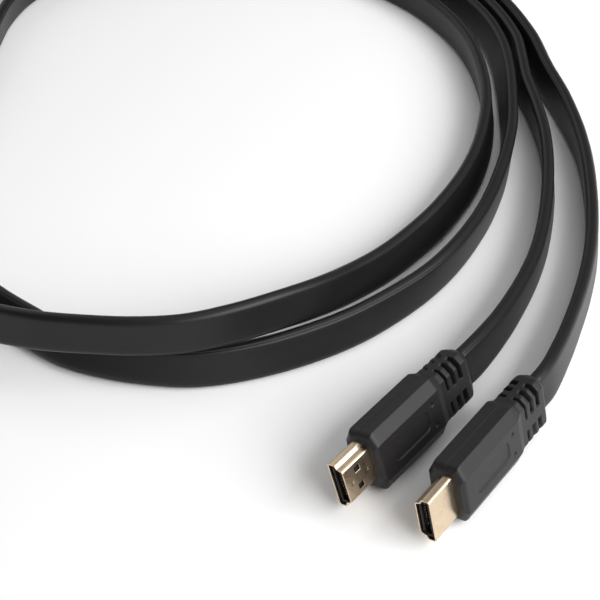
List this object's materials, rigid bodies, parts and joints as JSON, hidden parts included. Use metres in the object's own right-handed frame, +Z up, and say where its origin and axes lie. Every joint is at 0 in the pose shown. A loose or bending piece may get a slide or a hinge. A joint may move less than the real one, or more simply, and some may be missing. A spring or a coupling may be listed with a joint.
{
  "type": "hdmi cable",
  "caption": "Black flat video cable wound in a loose doubled coil, with two moulded plugs with gold-plated D-shaped shells.",
  "frame": {"origin": "centre of the bounding box, on the floor that the coil lies on", "axes": "+Z up, +Y away from the plugs across the coil, +X towards the side where the plugs' leads run"},
  "size_m": [0.3074, 0.3716, 0.0275],
  "materials": {
    "cable_jacket": "satin",
    "overmould": "satin",
    "gold_plate": "polished",
    "insulator": "matt"
  },
  "bodies": {
    "root": {"flat_cable": "cable_jacket", "plug_a_overmould": "overmould", "plug_a_shell": "gold_plate", "plug_a_insulator": "insulator", "plug_a_contact_wide_1": "gold_plate", "plug_a_contact_wide_2": "gold_plate", "plug_a_contact_wide_3": "gold_plate", "plug_a_contact_wide_4": "gold_plate", "plug_a_contact_wide_5": "gold_plate", "plug_a_contact_wide_6": "gold_plate", "plug_a_contact_wide_7": "gold_plate", "plug_a_contact_wide_8": "gold_plate", "plug_a_contact_wide_9": "gold_plate", "plug_a_contact_wide_10": "gold_plate", "plug_a_contact_narrow_1": "gold_plate", "plug_a_contact_narrow_2": "gold_plate", "plug_a_contact_narrow_3": "gold_plate", "plug_a_contact_narrow_4": "gold_plate", "plug_a_contact_narrow_5": "gold_plate", "plug_a_contact_narrow_6": "gold_plate", "plug_a_contact_narrow_7": "gold_plate", "plug_a_contact_narrow_8": "gold_plate", "plug_a_contact_narrow_9": "gold_plate", "plug_b_overmould": "overmould", "plug_b_shell": "gold_plate", "plug_b_insulator": "insulator", "plug_b_contact_wide_1": "gold_plate", "plug_b_contact_wide_2": "gold_plate", "plug_b_contact_wide_3": "gold_plate", "plug_b_contact_wide_4": "gold_plate", "plug_b_contact_wide_5": "gold_plate", "plug_b_contact_wide_6": "gold_plate", "plug_b_contact_wide_7": "gold_plate", "plug_b_contact_wide_8": "gold_plate", "plug_b_contact_wide_9": "gold_plate", "plug_b_contact_wide_10": "gold_plate", "plug_b_contact_narrow_1": "gold_plate", "plug_b_contact_narrow_2": "gold_plate", "plug_b_contact_narrow_3": "gold_plate", "plug_b_contact_narrow_4": "gold_plate", "plug_b_contact_narrow_5": "gold_plate", "plug_b_contact_narrow_6": "gold_plate", "plug_b_contact_narrow_7": "gold_plate", "plug_b_contact_narrow_8": "gold_plate", "plug_b_contact_narrow_9": "gold_plate"}
  },
  "joints": []
}
